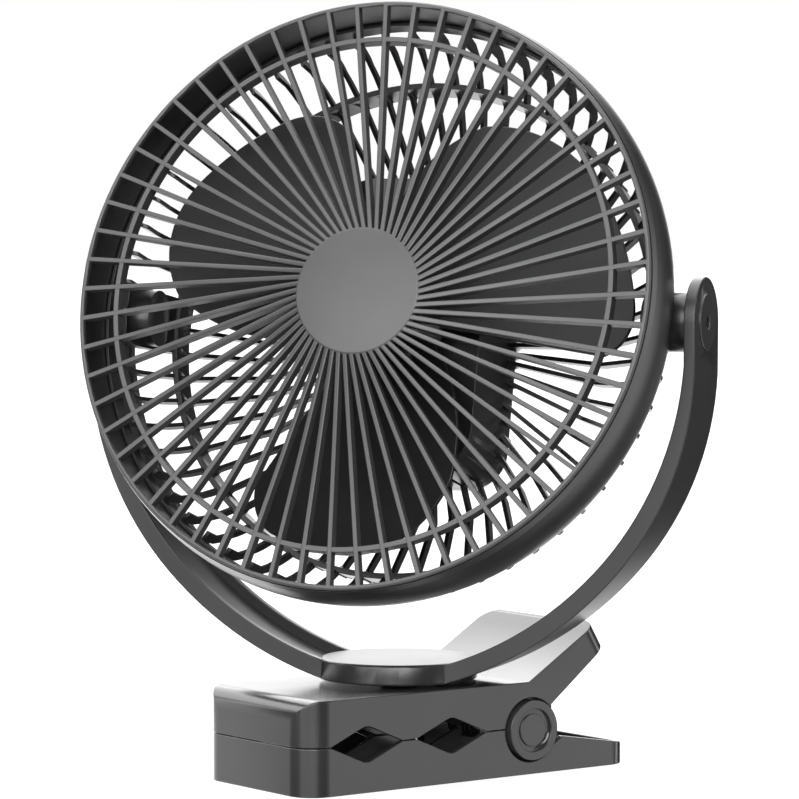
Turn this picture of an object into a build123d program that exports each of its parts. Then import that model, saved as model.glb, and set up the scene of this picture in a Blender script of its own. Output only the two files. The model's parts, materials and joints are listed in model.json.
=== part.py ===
from build123d import *
from math import atan2, cos, degrees, hypot, pi, radians, sin, sqrt
import os

# Clip fan. Millimetres, +Z up. The origin is on the swivel axis at the clamp's underside.
# +Y runs along the clamp towards its levers, and +X is the clamp's flank.
# The head is drawn in a frame of its own: x along the tilt axis, y up the grille, and z out of
# the fan's face, with its origin on the tilt axis. Depths in the head are counted back from
# the plane of the front grille.

# How the fan stands
pivot_height = 154.1
swivel_angle = 32.6
tilt_angle = 15.2

# Head
face_to_pivot = 40.3
rim_radius = 99.8
barrel_radius = 102.0
spoke_count = 60
spoke_width = 1.5
spoke_depth = 4.0
spoke_start_angle = 3.15
spoke_offset = 5.74
middle_ring_radius = 86.5
badge_radius = 21.7
shroud_inner = 99.2
guard_ring_radius = 99.1
guard_ring_wall = 1.2
rib_count = 60
rib_width = 1.5
rib_thickness = 4.0
band_radius = 86.2
band_front = 50.0
band_back = 61.0
floor_depth = 78.0
floor_radius = 63.5
gusset_depth = 82.0
gusset_reach = 4.0
boss_radius = 9.8
boss_root = 88.0
boss_face = 104.7
pad_angle = 11.6

# Motor and battery housing
housing_width = 57.2
housing_height = 101.0
housing_corner = 14.0
housing_lift = 0.5
housing_front = 43.6
housing_back = 78.0
cover_back = 90.0
cover_edge = 8.0
housing_wall = 2.2
screw_x = 21.5
screw_ends = (-43.0, 44.0)
screw_seat = 83.4
button_y = -32.0
lens_y = -19.5
lens_radius = 1.1
board_depth = 81.4
port_depth = 83.8
motor_radius = 17.8
motor_front = housing_front + 2.4
motor_back = 66.0
motor_screw_x = 9.0
shaft_radius = 1.5
running_gap = 0.05
cell_radius = 9.15
cell_length = 65.0

# Blades
blade_count = 3
blade_tip_radius = 84.0
blade_middle_angle = 140
blade_middle_depth = 30.4
blade_rise = 10.8
blade_wall = 1.8
hub_radius = 19.0
hub_front = 10.0
hub_back = 37.0

# Yoke
arm_width = 30.0
arm_face = 108.0
arm_wall = 2.8
arc_drop = 12.25
foot_arc_radius = 128.0
foot_arc_start = 43.4
flange_top_reach = 104.2
flange_height = 6.2
pin_radius = 2.95
pin_bore = 2.2
pin_end = 106.9
arm_boss_radius = 9.5
arm_boss_height = 0.6
disc_radius = 26.6
disc_foot_radius = 26.9
disc_top = 39.8
disc_bottom = 32.8
post_radius = 6.0

# Clamp
clamp_half_width = 30.0
clamp_height = 31.6
nose_end = -60.0
split_height = 16.1
split_gap = 0.2
clamp_wall = 2.4
nose_corner = 9.5
nose_edge = 6.7
notch_centres = (-35.3, 0.0)
notch_half_length = 14.8
notch_half_height = 5.8
hinge_y = 34.0
hinge_z = 15.2
hinge_cap_radius = 10.2
hinge_pin_radius = 2.5
hinge_relief = 10.9
lug_radius = 9.4
tray_end = 78.4
tray_corner = 8.5
lever_foot = 33.2
lever_tip = (63.6, 50.1)
lever_corner = 7.0
spring_wire = 1.8
spring_radius = 5.4
spring_pitch = 2.6

yoke_frame = Rot(0, 0, swivel_angle)
head_frame = Pos(0, 0, pivot_height) * yoke_frame * Rot(90 - tilt_angle, 0, 0)


def depth(distance):
    # height in the head's frame of a plane this far behind the front grille
    return face_to_pivot - distance


def drum(radius, front, back):
    # a plain disc or bar on the fan's axis
    return Pos(0, 0, depth((front + back) / 2)) * Cylinder(radius, back - front)


def band(outer, inner, front, back):
    # a plain ring on the fan's axis
    return drum(outer, front, back) - drum(inner, front - 1, back + 1)


def turned(points):
    # a ring turned from (radius, depth) points
    outline = Polyline([(radius, depth(back)) for radius, back in points], close=True)
    return revolve(Plane.XZ * make_face(outline), Axis.Z)


def along_x(radius, start, end, y=0.0, z=0.0):
    # a round bar parallel to X
    middle = Pos((start + end) / 2, y, z)
    return middle * Rot(0, 90, 0) * Cylinder(radius, end - start)


def write(name, shape):
    shape.label = name
    export_step(shape, "parts/" + name + ".step")


# ---------- head: grille, shroud and rear guard ----------

def front_grille():
    rim = turned([(98.1, 0.4), (98.5, 0), (99.3, 0), (rim_radius, 0.5), (rim_radius, 1.9), (98.1, 1.9)])
    middle = band(middle_ring_radius + 0.9, middle_ring_radius - 0.9, 0.15, 5)
    badge = turned([(0, -0.3), (badge_radius - 0.5, -0.3), (badge_radius, 0.3), (badge_radius, 3.6),
                    (badge_radius - 2, 3.6), (badge_radius - 2, 1.8), (0, 1.8)])
    inner_end = badge_radius - 2.5
    outer_end = 98.6
    bar = Pos((inner_end + outer_end) / 2, -spoke_offset, depth(spoke_depth / 2))
    bar = bar * Box(outer_end - inner_end, spoke_width, spoke_depth)
    spokes = []
    for number in range(spoke_count):
        spokes.append(Rot(0, 0, spoke_start_angle + 360 * number / spoke_count) * bar)
    return rim + middle + badge + spokes


def shroud_ring():
    # the barrel bulges to its full radius a third of the way back
    front = [(shroud_inner, 2.0), (99.9, 2.0), (100.1, 1.3)]
    back = [(100.0, 28.0), (shroud_inner, 28.0)]
    edges = [Line(as_place(front[0]), as_place(front[1])), Line(as_place(front[1]), as_place(front[2]))]
    edges.append(ThreePointArc(as_place(front[2]), as_place((barrel_radius, 14.5)), as_place(back[0])))
    edges += [Line(as_place(back[0]), as_place(back[1])), Line(as_place(back[1]), as_place(front[0]))]
    return revolve(Plane.XZ * make_face(edges), Axis.Z)


def as_place(point):
    return (point[0], depth(point[1]))


def rib_outline():
    # (radius, depth) points: down the flank, round the shoulder to the band, in along the cone
    # and over the flat floor, then back along the inner edge
    inner_floor = floor_depth - rib_thickness
    return [(guard_ring_radius, 27), (98.2, 35), (96, 41), (94, 43.5), (92, 47.5), (90, 50.5),
            (band_radius + 1.4, 53.5), (band_radius + 1.4, band_back), (84, band_back - 0.5),
            (floor_radius, floor_depth), (20, floor_depth), (20, inner_floor),
            (floor_radius - 1, inner_floor), (84, 56.5), (85.2, 53), (86.5, 50), (90, 45.5),
            (93.5, 39.5), (95, 36), (95, 24), (guard_ring_radius - 0.4, 24), (guard_ring_radius, 27)]


def guard_rib():
    return rib_plate(rib_outline())


def rib_plate(points):
    # a rib-thin plate standing along the radius at angle zero
    outline = make_face(Polyline([as_place(point) for point in points], close=True))
    return extrude(Plane.XZ * outline, amount=rib_width / 2, both=True)


def gusset(angle):
    # small web behind a rib's root, just clear of the cover's side
    root = housing_width / 2 / abs(cos(radians(angle))) + 0.2
    corners = [(root, gusset_depth), (root + 1, gusset_depth), (root + gusset_reach, floor_depth - 1),
               (root, floor_depth - 1)]
    return Rot(0, 0, angle) * rib_plate(corners)


def guard_pad():
    # stiff part of the shoulder that carries a pivot boss
    points = [(guard_ring_radius, 28.2), (98.2, 35), (96, 41), (94, 43.5), (92, 47.5), (90, 50.5),
              (band_radius + 1, 53.5), (band_radius - 1, 53.5), (86.5, 50), (90, 45.5), (93.5, 39.5),
              (95, 36), (95, 28.2)]
    outline = make_face(Polyline([as_place(point) for point in points], close=True))
    pad = Rot(0, 0, -pad_angle / 2) * revolve(Plane.XZ * outline, Axis.Z, revolution_arc=pad_angle)
    return pad + along_x(boss_radius, boss_root, boss_face) - along_x(pin_radius, 92, 108)


def housing_outline(inset=0.0):
    outline = RectangleRounded(housing_width - 2 * inset, housing_height - 2 * inset, housing_corner - inset)
    return Pos(0, housing_lift) * outline


def housing_block(inset, front, back):
    return Pos(0, 0, depth(back)) * extrude(housing_outline(inset), amount=back - front)


def lid_block(inset):
    # the cover's bulk, its back edge rounded
    back = cover_back - inset
    block = housing_block(inset, housing_back - inset, back)
    back_edges = block.edges().filter_by_position(Axis.Z, depth(back) - 0.1, depth(back) + 0.1)
    return fillet(back_edges, cover_edge - inset)


def screw_places():
    return [(side * screw_x, end) for side in (-1, 1) for end in screw_ends]


def rod(place, radius, front, back):
    # a round bar parallel to the fan's axis
    return Pos(*place, 0) * drum(radius, front, back)


def rear_guard():
    rib = guard_rib()
    guard = band(guard_ring_radius, guard_ring_radius - guard_ring_wall, 20, 27)
    guard += band(band_radius + 1, band_radius - 1, band_front, band_back)
    angles = [360 * number / rib_count for number in range(rib_count)]
    guard += [Rot(0, 0, angle) * rib for angle in angles]
    guard += [gusset(angle) for angle in angles if abs(cos(radians(angle))) > 0.64]
    guard += housing_block(0, housing_front, housing_back)
    guard -= housing_block(housing_wall, motor_front, housing_back + 10)
    guard -= drum(guard_ring_radius - guard_ring_wall, 12, 27.5)
    guard -= drum(5.2, housing_front - 1, motor_front + 1)
    for side in (-motor_screw_x, motor_screw_x):
        guard -= rod((side, 0), 1.25, housing_front - 2, motor_front + 2)
    for place in screw_places():
        guard += rod(place, 3.4, housing_back - 18, housing_back)
        guard -= rod(place, 1.1, housing_back - 12.5, housing_back + 0.5)
    # the pivot holes stay open, so the pads come last
    guard -= along_x(boss_radius, -100, -boss_root) + along_x(boss_radius, boss_root, 100)
    return guard + guard_pad() + Rot(0, 0, 180) * guard_pad()


def rear_cover():
    # shallow lid with a broad soft edge, a screw well near each corner and the charging socket's mouth
    outer = lid_block(0)
    lid = outer - lid_block(housing_wall)
    for place in screw_places():
        lid += outer & rod(place, 3.4, housing_back, cover_back)
        lid -= rod(place, 1.4, housing_back - 1, cover_back)
        lid -= rod(place, 2.6, screw_seat, cover_back + 1)
    lid -= rod((0, button_y), 6.3, cover_back - 5, cover_back + 1)
    for place in indicator_places():
        lid -= rod(place, lens_radius, cover_back - 4, cover_back + 1)
    return lid - Pos(0, -49, depth(port_depth)) * Box(9.6, 8, 3.8)


def indicator_places():
    return [(x, lens_y) for x in (-6, -2, 2, 6)]


def indicator_lenses():
    lenses = [rod(place, lens_radius, cover_back - 2.8, cover_back) for place in indicator_places()]
    return Compound(children=lenses)


def cover_screws():
    screws = []
    for place in screw_places():
        head = rod(place, 2.3, screw_seat, screw_seat + 1.8)
        slot = Pos(*place, depth(screw_seat + 1.6))
        head -= slot * Box(3.2, 0.6, 1.0)
        head -= slot * Box(0.6, 3.2, 1.0)
        screws.append(head + rod(place, 1.1, screw_seat - 11.8, screw_seat))
    return Compound(children=screws)


# ---------- head: what the housing holds ----------

def motor_can():
    can = drum(motor_radius, motor_front, motor_back)
    can -= drum(motor_radius - 1.2, motor_front + 1.2, motor_back + 1)
    can -= drum(3.0, motor_front - 1, motor_front + 2)
    for side in (-motor_screw_x, motor_screw_x):
        can -= rod((side, 0), 0.95, motor_front - 2, motor_front + 2)
    return can


def motor_end_cap():
    cap = drum(motor_radius - 1.2, motor_back - 1.6, motor_back)
    cap += drum(5, motor_back - 3.5, motor_back + 1.5)
    return cap - drum(3.0, motor_back - 5, motor_back + 3)


def motor_bush(front):
    return drum(3.0, front, front + 3) - drum(shaft_radius + running_gap, front - 1, front + 4)


def motor_magnets():
    ring = band(motor_radius - 1.2, motor_radius - 3.8, motor_front + 4, motor_back - 5)
    return ring - Pos(0, 0, depth(motor_front + 10)) * Box(9, 50, 60)


def motor_shaft():
    return drum(shaft_radius, 14, motor_back + 1)


def motor_armature():
    # three-pole core with its windings and commutator, pressed on the shaft
    front = motor_front + 5
    back = motor_back - 6
    middle = depth((front + back) / 2)
    stack = back - front
    core = drum(4.2, front, back)
    for number in range(3):
        pole = Pos(7.5, 0, middle) * Box(8, 3.2, stack)
        shoe = band(13.2, 11.4, front, back) & Pos(12, 0, middle) * Box(14, 17, stack + 1)
        winding = Pos(7.9, 0, middle) * Box(6.4, 7.6, stack + 2.4)
        core += Rot(0, 0, 120 * number) * (pole + shoe + winding)
    core += drum(3.2, back, back + 2.2)
    return core - drum(shaft_radius, motor_front - 5, motor_back + 5)


def motor_screws():
    screws = []
    for side in (-motor_screw_x, motor_screw_x):
        head = rod((side, 0), 1.9, housing_front - 1.4, housing_front)
        head -= Pos(side, 0, depth(housing_front - 1.2)) * Box(2.6, 0.5, 0.8)
        screws.append(head + rod((side, 0), 0.95, housing_front, housing_front + 3.8))
    return Compound(children=screws)


def battery_cells():
    cells = []
    for side in (-1, 1):
        cell = Cylinder(cell_radius, cell_length) + Pos(0, 0, cell_length / 2 + 0.5) * Cylinder(3, 1)
        cells.append(Pos(side * 9.4, 7.5, depth(78.3)) * Rot(-90, 0, 0) * cell)
    return Compound(children=cells)


def control_board():
    # the board, the button's switch behind it and one part in front of it
    board = Pos(0, -37, depth(board_depth)) * Box(34, 18, 1.6)
    board += Pos(0, button_y, depth(board_depth + 1.8)) * Box(6, 6, 2.0)
    board += Pos(11, -36, depth(board_depth - 1.6)) * Box(6, 6, 1.6)
    return board


def charging_port():
    # metal shell of the socket, with its tongue
    shell = Pos(0, -45.3, depth(port_depth)) * Box(8.9, 7.4, 3.2)
    shell -= Pos(0, -46.3, depth(port_depth)) * Box(8.3, 7.4, 2.6)
    return shell + Pos(0, -44.8, depth(port_depth)) * Box(6.6, 5, 0.7)


def power_button():
    button = drum(6.0, cover_back - 3.4, cover_back + 0.9)
    button = chamfer(button.edges().sort_by(Axis.Z)[0], 0.7)
    button += drum(7.4, cover_back - 4.2, cover_back - 3.2)
    return Pos(0, button_y, 0) * (button + drum(1.6, board_depth + 3.5, cover_back - 4))


# ---------- blades ----------

def blade_point(radius, angle):
    # the blade's surface: it comes forward as it turns anticlockwise, and faster near the tip
    turn = (angle - blade_middle_angle) / 34
    reach = (radius - 55) / 30
    back = blade_middle_depth - blade_rise * turn * (1 + 0.63 * reach)
    return Vector(*polar(radius, angle), depth(back))


def polar(radius, angle):
    return (radius * cos(radians(angle)), radius * sin(radians(angle)))


def blade_plan():
    # the blade seen from the front: a straight leading edge, a round corner, the tip, and a long
    # trailing edge that sweeps back to the hub
    root = 15
    edges = [Line(polar(root, 104), polar(74, 111)),
             ThreePointArc(polar(74, 111), polar(81.2, 116.5), polar(blade_tip_radius, 124)),
             ThreePointArc(polar(blade_tip_radius, 124), polar(blade_tip_radius, 135),
                           polar(blade_tip_radius, 146)),
             ThreePointArc(polar(blade_tip_radius, 146), polar(79.3, 165), polar(69, 179.5)),
             ThreePointArc(polar(69, 179.5), polar(45, 195), polar(root, 216)),
             Line(polar(root, 216), polar(root, 104))]
    return extrude(make_face(edges), amount=80, both=True)


def fan_blade():
    radii = [13 + 13 * step for step in range(7)]
    angles = [98 + 15 * step for step in range(9)]
    grid = [[blade_point(radius, angle) for angle in angles] for radius in radii]
    skin = Face.make_surface_from_array_of_points(grid)
    vane = Solid.thicken(skin, blade_wall) & blade_plan()
    hub = turned([(0, hub_front), (hub_radius - 3, hub_front), (hub_radius - 0.8, hub_front + 0.9),
                  (hub_radius, hub_front + 3), (hub_radius, hub_back), (0, hub_back)])
    hub += [Rot(0, 0, 120 * number) * vane for number in range(blade_count)]
    hub -= drum(hub_radius - 2, hub_front + 2.2, hub_back + 3) - drum(4.0, hub_front, hub_back + 3)
    hub -= drum(4.2, 32, hub_back + 3)
    return hub - drum(shaft_radius, 14, 60)


# ---------- pivot and yoke ----------

def pivot_pin(side):
    # hollow pin, pressed into the head's boss
    low, high = sorted((side * 92.0, side * pin_end))
    pin = chamfer(along_x(pin_radius, low, high).edges(), 0.4)
    low, high = sorted((side * 98.0, side * (pin_end + 1)))
    return pin - along_x(pin_bore, low, high)


def pivot_washer(side):
    low, high = sorted((side * (boss_face + 0.05), side * (arm_face - arm_wall)))
    return along_x(8, low, high) - along_x(pin_radius + 0.2, low - 1, high + 1)


def arc_place(radius, angle):
    # a point of the yoke's arc, the angle counted down from the horizontal
    return (radius * cos(radians(angle)), -arc_drop - radius * sin(radians(angle)))


def foot_arc_place(inset, x):
    # a point of the flatter arc that runs on from the main one to the foot
    start = arc_place(arm_face, foot_arc_start)
    turn = radians(foot_arc_start)
    centre = (start[0] - foot_arc_radius * cos(turn), start[1] + foot_arc_radius * sin(turn))
    return (x, centre[1] - sqrt((foot_arc_radius - inset) ** 2 - (x - centre[0]) ** 2))


def arm_shape(inset, half_width):
    # half of the U and its mirror image, seen from the front, as a block along y
    radius = arm_face - inset
    joint = arc_place(radius, foot_arc_start)
    end = foot_arc_place(inset, 0)
    edges = [Line((0, 40), (radius, 40)), Line((radius, 40), (radius, -arc_drop)),
             ThreePointArc((radius, -arc_drop), arc_place(radius, foot_arc_start / 2), joint),
             ThreePointArc(joint, foot_arc_place(inset, joint[0] / 2), end), Line(end, (0, 40))]
    return mirrored_block(edges, half_width)


def flange_shape(half_width):
    # the room inside the flanges, which grow deeper down the arms
    joint = arc_place(arm_face - flange_height, foot_arc_start)
    end = foot_arc_place(flange_height, 0)
    edges = [Line((0, 40), (flange_top_reach, 40)), Line((flange_top_reach, 40), (flange_top_reach, -14)),
             ThreePointArc((flange_top_reach, -14), (92.4, -56), joint),
             ThreePointArc(joint, foot_arc_place(flange_height, joint[0] / 2), end), Line(end, (0, 40))]
    return mirrored_block(edges, half_width)


def mirrored_block(edges, half_width):
    half = make_face(edges)
    return extrude(Plane.XZ * (half + mirror(half, about=Plane.YZ)), amount=half_width, both=True)


def round_topped(half_width):
    # the room below two arm tops rounded about the tilt axis
    return along_x(half_width, -120, 120) + Pos(0, 0, -75) * Box(240, 2 * half_width, 150)


def yoke():
    half = arm_width / 2
    inner_half = half - arm_wall
    strap = arm_shape(0, half) & round_topped(half)
    strap -= arm_shape(arm_wall, inner_half) & round_topped(inner_half)
    strap -= flange_shape(half + 1)
    for side in (-1, 1):
        low, high = sorted((side * (arm_face - 1), side * (arm_face + arm_boss_height)))
        strap += along_x(arm_boss_radius, low, high)
        low, high = sorted((side * (arm_face - arm_wall - 3), side * (pin_end + 0.1)))
        strap -= along_x(pin_radius + running_gap, low, high)
        low, high = sorted((side * pin_end, side * (arm_face + 2)))
        strap -= along_x(pin_bore, low, high)
    strap = Pos(0, 0, pivot_height) * strap
    profile = [(0, disc_bottom), (disc_foot_radius - 0.4, disc_bottom), (disc_foot_radius, disc_bottom + 0.4),
               (disc_radius, disc_top - 0.7), (disc_radius - 0.7, disc_top), (0, disc_top)]
    disc = revolve(Plane.XZ * make_face(Polyline(profile, close=True)), Axis.Z)
    strap -= Pos(0, 0, disc_top / 2) * Cylinder(disc_radius - 1, disc_top)
    body = strap + disc
    body -= Pos(0, 0, disc_bottom - 5) * Box(100, 100, 10)
    body += Pos(0, 0, disc_bottom - 2.9) * Cylinder(post_radius, 5.8)
    return body - Pos(0, 0, disc_bottom - 2.5) * Cylinder(1.7, 13)


def swivel_washer():
    return Pos(0, 0, 26.3) * (Cylinder(9, 1.2) - Cylinder(2.2, 2))


def swivel_screw():
    head = Pos(0, 0, 24.5) * Cylinder(3.6, 2.4)
    head -= Pos(0, 0, 23.6) * Box(5, 0.9, 1.6)
    head -= Pos(0, 0, 23.6) * Box(0.9, 5, 1.6)
    return head + Pos(0, 0, 29.5) * Cylinder(1.7, 8)


# ---------- clamp ----------

def flank(points, half_width):
    # a block along X from (y, z) points
    outline = make_face(Polyline(points, close=True))
    return extrude(Plane.YZ * outline, amount=half_width, both=True)


def notches():
    # diamond slots with blunt tips, cut right across both jaws
    cut = Part()
    blunt = 0.8
    rise = notch_half_height
    half = notch_half_length
    for centre in notch_centres:
        cut += flank([(centre - half, split_height), (centre - 2, split_height + rise - 0.4),
                      (centre - blunt, split_height + rise), (centre + blunt, split_height + rise),
                      (centre + 2, split_height + rise - 0.4), (centre + half, split_height),
                      (centre + 2, split_height - rise + 0.4), (centre + blunt, split_height - rise),
                      (centre - blunt, split_height - rise), (centre - 2, split_height - rise + 0.4)], 40)
    return cut


def hinge_bar(radius, start, end):
    return along_x(radius, start, end, hinge_y, hinge_z)


def round_ended(front, front_corner, back, back_corner, inset):
    # a rounded oblong as wide as the clamp, drawn with its length along Y
    side = clamp_half_width - inset
    front += inset
    back -= inset
    corner = front_corner - inset
    turn = corner * (1 - sqrt(0.5))
    end_corner = back_corner - inset
    end_turn = end_corner * (1 - sqrt(0.5))
    half = make_face([
        Line((0, front), (side - corner, front)),
        ThreePointArc((side - corner, front), (side - turn, front + turn), (side, front + corner)),
        Line((side, front + corner), (side, back - end_corner)),
        ThreePointArc((side, back - end_corner), (side - end_turn, back - end_turn),
                      (side - end_corner, back)),
        Line((side - end_corner, back), (0, back)), Line((0, back), (0, front))])
    return half + mirror(half, about=Plane.YZ)


def plan_block(inset):
    # a jaw seen from above, as a block with round corners
    return extrude(round_ended(nose_end, nose_corner, tray_end, tray_corner, inset), amount=clamp_height + 20)


def lever_block(inset):
    # the same for the upper lever's tail, square to the lever's slope
    reach = lever_tip[0] - lever_foot
    rise = lever_tip[1] - clamp_height
    outline = round_ended(-150, nose_corner, hypot(reach, rise), lever_corner, inset)
    place = Pos(0, lever_foot, clamp_height) * Rot(degrees(atan2(rise, reach)), 0, 0)
    return place * extrude(outline, amount=80, both=True)


def upper_jaw():
    floor = split_height + split_gap / 2
    outer = [(nose_end, floor), (nose_end, clamp_height), (lever_foot, clamp_height), lever_tip,
             (67.6, 43.5), (67.1, 41.2), (64.6, 39.7), (43.1, 23.2), (43.1, floor)]
    jaw = flank(outer, clamp_half_width)
    nose_top = jaw.edges().filter_by(Axis.X).group_by(Axis.Y)[0].sort_by(Axis.Z)[-1]
    jaw = fillet(nose_top, nose_edge) & plan_block(0) & lever_block(0)
    wall = clamp_wall
    # the lever is open underneath, with its far edge turned down
    hollow = [(nose_end + wall, floor - 1), (nose_end + wall, clamp_height - 6.5),
              (nose_end + 8, clamp_height - wall), (lever_foot + 0.7, clamp_height - wall), (64.9, 48.1),
              (70.0, 36.0), (46.0, 20.0), (46.0, floor - 1)]
    jaw -= flank(hollow, clamp_half_width) & plan_block(wall) & lever_block(wall)
    for side in (-1, 1):
        rib = flank([(nose_end + 1, floor), (nose_end + 1, clamp_height - 6),
                     (nose_end + 8, clamp_height - 1), (16, clamp_height - 1), (16, floor)], 1)
        jaw += Pos(side * 14, 0, 0) * rib
        lug = flank([(24.6, hinge_z), (24.6, clamp_height - 1), (lever_foot, clamp_height - 1), (43.0, 37.0),
                     (43.0, hinge_z)], 2) + along_x(lug_radius, -2, 2, hinge_y, hinge_z)
        jaw += Pos(side * 24.5, 0, 0) * lug
        low, high = sorted((side * 26.8, side * 31))
        jaw -= hinge_bar(hinge_relief, low, high)
    jaw -= notches()
    jaw -= hinge_bar(hinge_pin_radius + running_gap, -40, 40)
    jaw += Pos(0, 0, 29) * Cylinder(12, 3)
    return jaw - Pos(0, 0, 29) * Cylinder(post_radius + running_gap, 10)


def lower_jaw():
    top = split_height - split_gap / 2
    outer = [(nose_end, 0), (nose_end, top), (43.3, top), (43.3, 9.2), (47.8, 12.0),
             (tray_end, 7.1), (tray_end, 0)]
    jaw = flank(outer, clamp_half_width) & plan_block(0)
    wall = clamp_wall
    hollow = [(nose_end, wall), (nose_end, top + 1), (tray_end - wall, top + 1), (tray_end - wall, wall)]
    jaw -= flank(hollow, clamp_half_width) & plan_block(wall)
    for side in (-1, 1):
        rib = flank([(nose_end + 1, 1), (nose_end + 1, top), (16, top), (16, 1)], 1)
        jaw += Pos(side * 14, 0, 0) * rib
        lug = flank([(24.6, 1), (24.6, hinge_z), (43.4, hinge_z), (43.4, 1)], 2)
        lug += along_x(lug_radius, -2, 2, hinge_y, hinge_z)
        jaw += Pos(side * 19.5, 0, 0) * lug
        low, high = sorted((side * 26.8, side * 31))
        jaw -= hinge_bar(hinge_relief, low, high)
    jaw -= notches()
    return jaw - hinge_bar(hinge_pin_radius, -40, 40)


def hinge_pin():
    return hinge_bar(hinge_pin_radius, -29.6, 29.6)


def hinge_cap(side):
    # a button with a raised rim and a raised centre
    low, high = sorted((side * 27.2, side * 31.8))
    cap = hinge_bar(hinge_cap_radius, low, high)
    low, high = sorted((side * 30.6, side * 33))
    cap -= hinge_bar(7.4, low, high) - hinge_bar(5.6, low - 1, high + 1)
    low, high = sorted((side * 31.2, side * 33))
    cap -= hinge_bar(5.7, low, high)
    low, high = sorted((side * 26.0, side * 29.6))
    return cap - hinge_bar(hinge_pin_radius, low, high)


def spring_path():
    # half turns, each a flat arc that starts and ends parallel to Y, and a bent leg at each end
    half_turns = 13
    start = -spring_pitch * half_turns / 4
    bulge = hypot(spring_radius, spring_pitch / 4)
    edges = []
    for step in range(half_turns):
        side = -1 if step % 2 == 0 else 1
        near = (start + spring_pitch * step / 2, hinge_y, hinge_z + side * spring_radius)
        middle = (start + spring_pitch * (step + 0.5) / 2, hinge_y + side * bulge, hinge_z)
        far = (start + spring_pitch * (step + 1) / 2, hinge_y, hinge_z - side * spring_radius)
        edges.append(ThreePointArc(near, middle, far))
    low = hinge_z - spring_radius
    high = hinge_z + spring_radius
    floor = clamp_wall + spring_wire / 2
    lower_leg = FilletPolyline((start, 62, floor), (start, 47, floor), (start, 38, low),
                               (start, hinge_y, low), radius=(6, 5))
    upper_leg = FilletPolyline((-start, hinge_y, high), (-start, 39.5, high), (-start, 54.5, 40.2), radius=5)
    return Wire(list(lower_leg.edges()) + edges + list(upper_leg.edges()))


def clamp_spring():
    # torsion spring round the hinge pin, with a leg to each lever
    path = spring_path()
    section = Plane(origin=path @ 0, z_dir=path % 0) * Circle(spring_wire / 2)
    spring = sweep(section, path=path)
    print("spring: least gap between turns", spring_pitch - spring_wire, "mm, wire", spring_wire,
          "mm, length", round(path.length, 1), "mm, volume", round(spring.volume, 1), "against",
          round(path.length * pi * (spring_wire / 2) ** 2, 1))
    return spring


if __name__ == "__main__":
    os.makedirs("parts", exist_ok=True)
    write("front_grille", head_frame * front_grille())
    write("shroud_ring", head_frame * shroud_ring())
    write("rear_guard", head_frame * rear_guard())
    write("rear_cover", head_frame * rear_cover())
    write("indicator_lenses", head_frame * indicator_lenses())
    write("cover_screws", head_frame * cover_screws())
    write("motor_can", head_frame * motor_can())
    write("motor_end_cap", head_frame * motor_end_cap())
    write("motor_bush_front", head_frame * motor_bush(motor_front))
    write("motor_bush_rear", head_frame * motor_bush(motor_back - 1.5))
    write("motor_magnets", head_frame * motor_magnets())
    write("motor_shaft", head_frame * motor_shaft())
    write("motor_armature", head_frame * motor_armature())
    write("motor_screws", head_frame * motor_screws())
    write("battery_cells", head_frame * battery_cells())
    write("control_board", head_frame * control_board())
    write("charging_port", head_frame * charging_port())
    write("power_button", head_frame * power_button())
    write("fan_blade", head_frame * fan_blade())
    for name, side in (("left", -1), ("right", 1)):
        write("pivot_pin_" + name, head_frame * pivot_pin(side))
        write("pivot_washer_" + name, head_frame * pivot_washer(side))
        write("hinge_cap_" + name, hinge_cap(side))
    write("yoke", yoke_frame * yoke())
    write("swivel_washer", swivel_washer())
    write("swivel_screw", swivel_screw())
    write("upper_jaw", upper_jaw())
    write("lower_jaw", lower_jaw())
    write("hinge_pin", hinge_pin())
    write("clamp_spring", clamp_spring())
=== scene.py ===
import bpy
import bmesh
import json
from math import radians
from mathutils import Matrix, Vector

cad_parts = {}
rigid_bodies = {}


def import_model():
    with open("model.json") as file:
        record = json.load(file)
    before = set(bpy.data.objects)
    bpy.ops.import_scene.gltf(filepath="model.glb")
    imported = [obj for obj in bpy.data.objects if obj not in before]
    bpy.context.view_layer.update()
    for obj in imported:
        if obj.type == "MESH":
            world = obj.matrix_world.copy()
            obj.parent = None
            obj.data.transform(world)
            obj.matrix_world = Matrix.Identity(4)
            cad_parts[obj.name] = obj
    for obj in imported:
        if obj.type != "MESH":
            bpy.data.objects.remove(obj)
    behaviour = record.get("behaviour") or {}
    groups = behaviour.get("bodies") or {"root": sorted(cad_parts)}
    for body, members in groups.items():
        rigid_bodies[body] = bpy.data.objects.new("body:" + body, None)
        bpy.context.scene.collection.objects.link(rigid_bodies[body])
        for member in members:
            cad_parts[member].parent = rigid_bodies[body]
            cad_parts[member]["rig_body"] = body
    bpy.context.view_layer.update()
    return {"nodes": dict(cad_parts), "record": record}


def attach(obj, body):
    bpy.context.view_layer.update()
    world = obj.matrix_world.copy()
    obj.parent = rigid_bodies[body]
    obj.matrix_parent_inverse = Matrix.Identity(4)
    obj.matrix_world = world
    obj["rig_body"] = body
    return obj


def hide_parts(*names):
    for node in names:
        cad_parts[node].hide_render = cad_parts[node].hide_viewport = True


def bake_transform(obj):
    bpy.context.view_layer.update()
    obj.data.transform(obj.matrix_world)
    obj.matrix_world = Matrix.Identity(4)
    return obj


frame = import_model()
print("stage: frame loaded")

mm = 0.001


def hexColour(text):
    # sRGB hex to the linear values that nodes want
    parts = [int(text[i:i + 2], 16) / 255 for i in (1, 3, 5)]
    linear = [c / 12.92 if c <= 0.04045 else ((c + 0.055) / 1.055) ** 2.4 for c in parts]
    return (*linear, 1)


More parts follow.
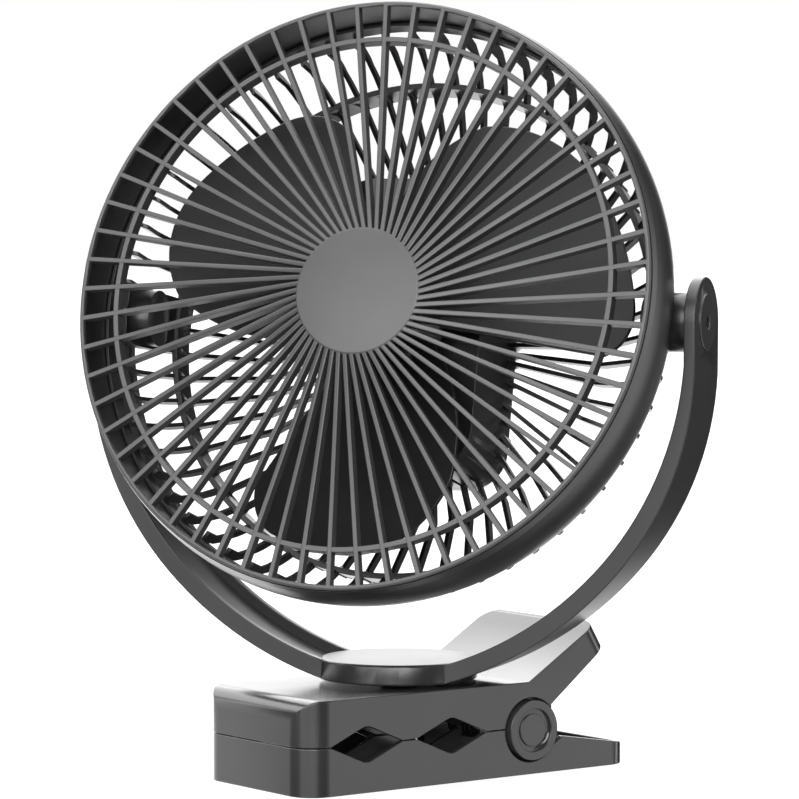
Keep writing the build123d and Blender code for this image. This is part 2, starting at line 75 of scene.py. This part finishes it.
def addNode(tree, kind, settings=None, links=None):
    # a setting is for a socket, or for the node itself where it has no socket of that name
    node = tree.nodes.new(kind)
    for key, value in (settings or {}).items():
        if isinstance(key, int) or key in node.inputs:
            node.inputs[key].default_value = value
        else:
            setattr(node, key, value)
    for key, (source, output) in (links or {}).items():
        tree.links.new(source.outputs[output], node.inputs[key])
    return node


def newMaterial(name):
    material = bpy.data.materials.new(name)
    material.use_nodes = True
    material.node_tree.nodes.clear()
    return material, material.node_tree


def texture(tree, kind, size, settings=None):
    # fixed to the piece, with one feature every so many millimetres
    place = addNode(tree, "ShaderNodeTexCoord")
    return addNode(tree, kind, {"Scale": 1000 / size, **(settings or {})},
                   {"Vector": (place, "Object")})


def twoTones(tree, source, look, low=0.35, high=0.68):
    # the look's dark and light colours, spread over a texture's middle range
    tone = addNode(tree, "ShaderNodeValToRGB", None, {"Fac": (source, "Fac")})
    tone.color_ramp.elements[0].position = low
    tone.color_ramp.elements[0].color = hexColour(look["dark"])
    tone.color_ramp.elements[1].position = high
    tone.color_ramp.elements[1].color = hexColour(look["light"])
    return tone


def spanned(tree, source, output, span):
    # a texture's values spread over the span from smooth to rough
    return addNode(tree, "ShaderNodeMapRange", {"To Min": span[0], "To Max": span[1]},
                   {"Value": (source, output)})


def relief(tree, source, strength, height):
    return addNode(tree, "ShaderNodeBump", {"Strength": strength, "Distance": height},
                   {"Height": (source, "Fac")})


def surface(tree, settings, tone, gloss=None, bumps=None):
    # the tone always comes from a texture; the gloss and the bumps do where they are given
    links = {"Base Color": (tone, "Color")}
    if gloss:
        links["Roughness"] = (gloss, "Result")
    if bumps:
        links["Normal"] = (bumps, "Normal")
    shader = addNode(tree, "ShaderNodeBsdfPrincipled", settings, links)
    addNode(tree, "ShaderNodeOutputMaterial", None, {"Surface": (shader, "BSDF")})


plasticIndex = 1.53
mouldedDrift = 28  # millimetres over which a moulding's shade drifts
platedDrift = 6  # the same for a plated part
grainHeight = 0.2 * mm  # how high a moulding's grain stands
poreHeight = 0.1 * mm  # how deep pores and the grooves between wires are

# the grille's tone is partly its own and partly painted highlight: drawn lighter than its dark
# plastic, to stand in for the light its flat front faces catch
absGrilleWithPaintedHighlight = {"dark": "#414142", "light": "#494949", "rough": (0.38, 0.46),
             "grain": 0.8, "depth": 0.05}
absHousing = {"dark": "#1c1c1d", "light": "#222223", "rough": (0.28, 0.34),
              "grain": 0.8, "depth": 0.03}
absYoke = {"dark": "#252526", "light": "#2c2c2d", "rough": (0.26, 0.34),
           "grain": 0.8, "depth": 0.03}
absClamp = {"dark": "#2d2d2e", "light": "#343435", "rough": (0.18, 0.24),
            "grain": 0.8, "depth": 0.03}
polypropylene = {"dark": "#181819", "light": "#1e1e1f", "rough": (0.30, 0.38),
                 "grain": 1.4, "depth": 0.02}
absButton = {"dark": "#242425", "light": "#2b2b2c", "rough": (0.24, 0.32),
             "grain": 0.9, "depth": 0.02}


def mouldedPlastic(name, look):
    # injection moulded, with the tool's fine spark grain, drawn coarse enough to show
    material, tree = newMaterial(name)
    cloud = texture(tree, "ShaderNodeTexNoise", mouldedDrift, {"Detail": 4.0})
    grain = texture(tree, "ShaderNodeTexNoise", look["grain"], {"Detail": 2.0})
    surface(tree, {"IOR": plasticIndex}, twoTones(tree, cloud, look),
            spanned(tree, cloud, "Fac", look["rough"]),
            relief(tree, grain, look["depth"], grainHeight))
    return material


zincPlate = {"dark": "#a3a6ab", "light": "#bcbfc4", "rough": (0.28, 0.42), "crystal": 2.2}
drawnSteel = {"dark": "#a0a2a6", "light": "#b4b6ba", "rough": (0.20, 0.34), "crystal": 1.2}
groundSteel = {"dark": "#b6b7ba", "light": "#c6c7ca", "rough": (0.12, 0.22), "crystal": 0.8}
springWire = {"dark": "#7f8185", "light": "#94969a", "rough": (0.26, 0.40), "crystal": 1.0}
blackOxide = {"dark": "#18181a", "light": "#222225", "rough": (0.35, 0.5), "crystal": 1.0}
nickelPlate = {"dark": "#bdb9b1", "light": "#cbc7bf", "rough": (0.10, 0.18), "crystal": 1.5}


def platedMetal(name, look):
    # plated or drawn steel: faint crystal patches that change the gloss more than the colour
    material, tree = newMaterial(name)
    patch = texture(tree, "ShaderNodeTexVoronoi", look["crystal"])
    cloud = texture(tree, "ShaderNodeTexNoise", platedDrift, {"Detail": 3.0})
    surface(tree, {"Metallic": 1.0}, twoTones(tree, cloud, look),
            spanned(tree, patch, "Distance", look["rough"]))
    return material


# a wave texture of this size has its ridges 0.69 mm apart
copperWinding = {"dark": "#8a3b1c", "light": "#b9602f", "rough": 0.28, "metal": 0.8,
                 "lacquer": 0.5, "waves": 2.198, "ridge": 0.4}


def enamelledCopper(name, look):
    # turns of enamelled wire: fine ridges under a clear brown gloss
    material, tree = newMaterial(name)
    turns = texture(tree, "ShaderNodeTexWave", look["waves"],
                    {"Distortion": 0.6, "Detail": 1.0, "bands_direction": "Z"})
    surface(tree, {"Metallic": look["metal"], "Roughness": look["rough"],
                   "Coat Weight": look["lacquer"]},
            twoTones(tree, turns, look, low=0.2, high=0.8),
            bumps=relief(tree, turns, look["ridge"], poreHeight))
    return material


sinteredBronze = {"dark": "#7d5f38", "light": "#a07c4b", "rough": 0.45, "metal": 1.0,
                  "grit": 0.5, "depth": 0.3}
sinteredFerrite = {"dark": "#1d1d1f", "light": "#29292b", "rough": 0.62, "metal": 0.0,
                   "grit": 0.7, "depth": 0.2}


def sintered(name, look):
    # pressed and fired powder: dull, with small open pores
    material, tree = newMaterial(name)
    pores = texture(tree, "ShaderNodeTexNoise", look["grit"], {"Detail": 5.0})
    surface(tree, {"Metallic": look["metal"], "Roughness": look["rough"]},
            twoTones(tree, pores, look),
            bumps=relief(tree, pores, look["depth"], poreHeight))
    return material


naturalNylon = {"dark": "#cfccbf", "light": "#dcd9cd", "rough": 0.42, "body": 0.25, "mottle": 9}
shrinkSleeve = {"dark": "#1b4477", "light": "#235491", "rough": 0.20, "body": 0.0, "mottle": 14}
solderMask = {"dark": "#0e3d22", "light": "#155530", "rough": 0.24, "body": 0.0, "mottle": 1.6}


def softPolymer(name, look):
    # smooth polymer with a faint mottle; nylon also glows a little from inside
    material, tree = newMaterial(name)
    mottle = texture(tree, "ShaderNodeTexNoise", look["mottle"], {"Detail": 3.0})
    surface(tree, {"IOR": plasticIndex, "Roughness": look["rough"],
                   "Subsurface Weight": look["body"], "Subsurface Scale": mm},
            twoTones(tree, mottle, look))
    return material


frostedLens = {"dark": "#d4dcd6", "light": "#e6ebe6", "rough": (0.35, 0.5), "frost": 0.4,
               "index": 1.585, "clear": 0.5}


def frostedPolycarbonate(name, look):
    # light pipe, frosted on its face
    material, tree = newMaterial(name)
    frost = texture(tree, "ShaderNodeTexNoise", look["frost"], {"Detail": 2.0})
    surface(tree, {"IOR": look["index"], "Transmission Weight": look["clear"]},
            twoTones(tree, frost, look), spanned(tree, frost, "Fac", look["rough"]))
    return material


finishes = {
    # the grille's lighter tone is partly painted highlight
    "grille_plastic": mouldedPlastic("moulded ABS, grille, with painted highlight", absGrilleWithPaintedHighlight),
    "housing_plastic": mouldedPlastic("moulded ABS, housing", absHousing),
    "yoke_plastic": mouldedPlastic("moulded ABS, yoke", absYoke),
    "clamp_plastic": mouldedPlastic("moulded ABS, clamp", absClamp),
    "cap_plastic": mouldedPlastic("moulded ABS, hinge cap", absClamp),
    "blade_plastic": mouldedPlastic("moulded polypropylene, blades", polypropylene),
    "button_plastic": mouldedPlastic("moulded ABS, button", absButton),
    "fastener_steel": platedMetal("zinc-plated steel, fasteners", zincPlate),
    "motor_steel": platedMetal("zinc-plated steel, motor can", drawnSteel),
    "shaft_steel": platedMetal("ground steel", groundSteel),
    "pin_steel": platedMetal("black-oxide steel", blackOxide),
    "spring_steel": platedMetal("drawn spring steel", springWire),
    "port_steel": platedMetal("nickel-plated steel", nickelPlate),
    "armature_copper": enamelledCopper("enamelled copper wire", copperWinding),
    "bush_bronze": sintered("sintered bronze", sinteredBronze),
    "magnet_ferrite": sintered("sintered ferrite", sinteredFerrite),
    "nylon": softPolymer("natural nylon", naturalNylon),
    "cell_wrap": softPolymer("shrink sleeve", shrinkSleeve),
    "board_laminate": softPolymer("solder mask on glass laminate", solderMask),
    "lens_plastic": frostedPolycarbonate("frosted polycarbonate", frostedLens),
}
print("stage: materials made")

slotOf = {part["node"]: part["material_slot"] for part in frame["record"]["subparts"]}
weldGap = 0.01 * mm  # points of a CAD mesh this close are joined
shortestEdge = 0.04 * mm  # edges shorter than this go
levelAngle = radians(1.5)  # faces that meet within this angle become one
sharpEdge = radians(34)  # a bend beyond this is an edge, not a curve


def bodyOf(node):
    return frame["nodes"][node]["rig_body"]


def dress(thing, slot):
    thing.data.materials.clear()
    thing.data.materials.append(finishes[slot])


def formOf(node):
    # a copy of the CAD node's mesh with its seams closed
    form = bmesh.new()
    form.from_mesh(frame["nodes"][node].data)
    bmesh.ops.remove_doubles(form, verts=form.verts, dist=weldGap)
    return form


def newPiece(name, form, node):
    # a mesh piece that stands for a CAD node and wears its finish
    bmesh.ops.recalc_face_normals(form, faces=form.faces)
    mesh = bpy.data.meshes.new(name)
    form.to_mesh(mesh)
    form.free()
    mesh.shade_smooth()
    mesh.set_sharp_from_angle(angle=sharpEdge)
    thing = bpy.data.objects.new(name, mesh)
    bpy.context.scene.collection.objects.link(thing)
    dress(thing, slotOf[node])
    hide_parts(node)
    return thing


def softened(node, width):
    # moulded edges that stick out have a small radius, which catches the light
    form = formOf(node)
    bmesh.ops.dissolve_degenerate(form, dist=shortestEdge, edges=form.edges)
    bmesh.ops.dissolve_limit(form, angle_limit=levelAngle, verts=form.verts, edges=form.edges)
    weight = form.edges.layers.float.new("bevel_weight_edge")
    for edge in form.edges:
        edge[weight] = float(edge.is_convex and edge.calc_face_angle(0) > sharpEdge)
    thing = newPiece(node + "_moulded", form, node)
    bevel = thing.modifiers.new("moulded edges", "BEVEL")
    bevel.width = width
    bevel.segments = 2
    bevel.limit_method = "WEIGHT"
    bevel.use_clamp_overlap = False
    bevel.harden_normals = True
    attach(thing, bodyOf(node))


for node, thing in frame["nodes"].items():
    dress(thing, slotOf[node])

# in millimetres
edgeRadius = {"shroud_ring": 0.3, "rear_guard": 0.25, "rear_cover": 0.3, "yoke": 0.45,
              "upper_jaw": 0.4, "lower_jaw": 0.4, "hinge_cap_left": 0.3, "hinge_cap_right": 0.3,
              "power_button": 0.25, "fan_blade": 0.4, "front_grille": 0.3}
for node, width in edgeRadius.items():
    softened(node, width * mm)
print("stage: moulded edges rounded")


def woundSpring(node):
    # a copy of the spring's CAD mesh, with its place baked into its points
    thing = newPiece(node + "_wound", formOf(node), node)
    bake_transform(thing)


woundSpring("clamp_spring")

view = {"down": 2.434, "azimuth": 52.816, "lens": 159.5, "sensor": 36,
        "place": (0.9554, -0.7241, 0.1782)}


def makeCamera():
    data = bpy.data.cameras.new("camera")
    data.lens = view["lens"]
    data.sensor_width = view["sensor"]
    camera = bpy.data.objects.new("camera", data)
    camera.location = view["place"]
    camera.rotation_euler = (radians(90 - view["down"]), 0, radians(view["azimuth"]))
    bpy.context.scene.collection.objects.link(camera)
    bpy.context.scene.camera = camera


# suns stand in for far, very large soft boxes, so the floor is lit evenly
softBoxes = {
    "top": {"from": (-0.42, 0.12, 0.90), "strength": 4.2, "spread": 90},
    "front": {"from": (0.82, -0.58, 0.40), "strength": 2.5, "spread": 40},
    "left": {"from": (0.18, -0.92, 0.37), "strength": 1.3, "spread": 44},
}
ambient = 0.06  # what the walls add to the light on the pieces
# what shines in the plastic: level against azimuth, white walls with four dark gaps in them
walls = [(-180, 1.6), (-146, 1.6), (-134, 0.1), (-92, 0.1), (-82, 1.2), (-24, 1.2),
         (-10, 0.05), (24, 0.05), (32, 1.8), (46, 1.8), (54, 0.08), (64, 0.08),
         (70, 2.5), (80, 2.5), (86, 0.05), (122, 0.05), (134, 2.2), (180, 2.2)]
brightest = max(level for azimuth, level in walls)
# sine of the angle above the horizon where the walls begin to whiten, and where they are white
ceiling = {"starts": 0.35, "full": 0.65}


def makeLamp(name, box):
    data = bpy.data.lights.new(name, "SUN")
    data.energy = box["strength"]
    data.angle = radians(box["spread"])
    lamp = bpy.data.objects.new(name, data)
    lamp.rotation_euler = Vector(box["from"]).to_track_quat("Z", "Y").to_euler()
    bpy.context.scene.collection.objects.link(lamp)


def seenDirectly(tree, ray):
    # 1 for what the camera sees, bare or through a lens, and 0 for every other ray
    return addNode(tree, "ShaderNodeMath", {"operation": "MAXIMUM"},
                   {0: (ray, "Is Camera Ray"), 1: (ray, "Is Transmission Ray")})


def wallLevel(tree):
    # how bright the studio is in a reflection: the walls' ramp round the horizon, white overhead
    place = addNode(tree, "ShaderNodeTexCoord")
    around = addNode(tree, "ShaderNodeTexGradient", {"gradient_type": "RADIAL"},
                     {"Vector": (place, "Generated")})
    ramp = addNode(tree, "ShaderNodeValToRGB", None, {"Fac": (around, "Fac")})
    # the gradient goes once round, from -180 to 180 degrees
    for azimuth, level in walls:
        stop = ramp.color_ramp.elements.new(azimuth / 360 + 0.5)
        stop.color = (level / brightest, level / brightest, level / brightest, 1)
    wall = addNode(tree, "ShaderNodeMath", {"operation": "MULTIPLY", 1: brightest},
                   {0: (ramp, "Color")})
    parts = addNode(tree, "ShaderNodeSeparateXYZ", None, {"Vector": (place, "Generated")})
    high = addNode(tree, "ShaderNodeMapRange",
                   {"From Min": ceiling["starts"], "From Max": ceiling["full"]},
                   {"Value": (parts, "Z")})
    return addNode(tree, "ShaderNodeMapRange", {"To Max": 1.0},
                   {"Value": (high, "Result"), "To Min": (wall, "Value")})


def makeStudio():
    world = bpy.data.worlds.new("studio")
    bpy.context.scene.world = world
    world.use_nodes = True
    tree = world.node_tree
    tree.nodes.clear()
    ray = addNode(tree, "ShaderNodeLightPath")
    lit = addNode(tree, "ShaderNodeMapRange", {"To Min": ambient},
                  {"Value": (ray, "Is Glossy Ray"), "To Max": (wallLevel(tree), "Result")})
    level = addNode(tree, "ShaderNodeMapRange", {"To Max": 1.0},
                    {"Value": (seenDirectly(tree, ray), "Value"), "To Min": (lit, "Result")})
    glow = addNode(tree, "ShaderNodeBackground", {"Color": hexColour("#ffffff")},
                   {"Strength": (level, "Result")})
    addNode(tree, "ShaderNodeOutputWorld", None, {"Surface": (glow, "Background")})
    for side, box in softBoxes.items():
        makeLamp(side + " soft box", box)


# the glow is for the camera alone, so that the paper fades into the white behind it
paper = {"colour": "#a4a4a4", "glow": 0.80, "radius": 30.0, "sides": 96}


def makeFloor():
    mesh = bpy.data.meshes.new("floor")
    shape = bmesh.new()
    bmesh.ops.create_circle(shape, cap_ends=True, segments=paper["sides"],
                            radius=paper["radius"])
    shape.to_mesh(mesh)
    shape.free()
    floor = bpy.data.objects.new("floor", mesh)
    bpy.context.scene.collection.objects.link(floor)
    material, tree = newMaterial("white paper")
    matt = addNode(tree, "ShaderNodeBsdfDiffuse", {"Color": hexColour(paper["colour"])})
    ray = addNode(tree, "ShaderNodeLightPath")
    lift = addNode(tree, "ShaderNodeMapRange", {"To Max": paper["glow"]},
                   {"Value": (seenDirectly(tree, ray), "Value")})
    glow = addNode(tree, "ShaderNodeEmission", None, {"Strength": (lift, "Result")})
    sheet = addNode(tree, "ShaderNodeAddShader", None, {0: (matt, "BSDF"), 1: (glow, "Emission")})
    # reflections look past the paper to the studio's walls, which it runs up into
    past = addNode(tree, "ShaderNodeBsdfTransparent")
    both = addNode(tree, "ShaderNodeMixShader", None,
                   {"Fac": (ray, "Is Glossy Ray"), 1: (sheet, "Shader"), 2: (past, "BSDF")})
    addNode(tree, "ShaderNodeOutputMaterial", None, {"Surface": (both, "Shader")})
    mesh.materials.append(material)


makeCamera()
makeStudio()
makeFloor()
bpy.context.scene.view_settings.view_transform = "Standard"
print("stage: studio made")
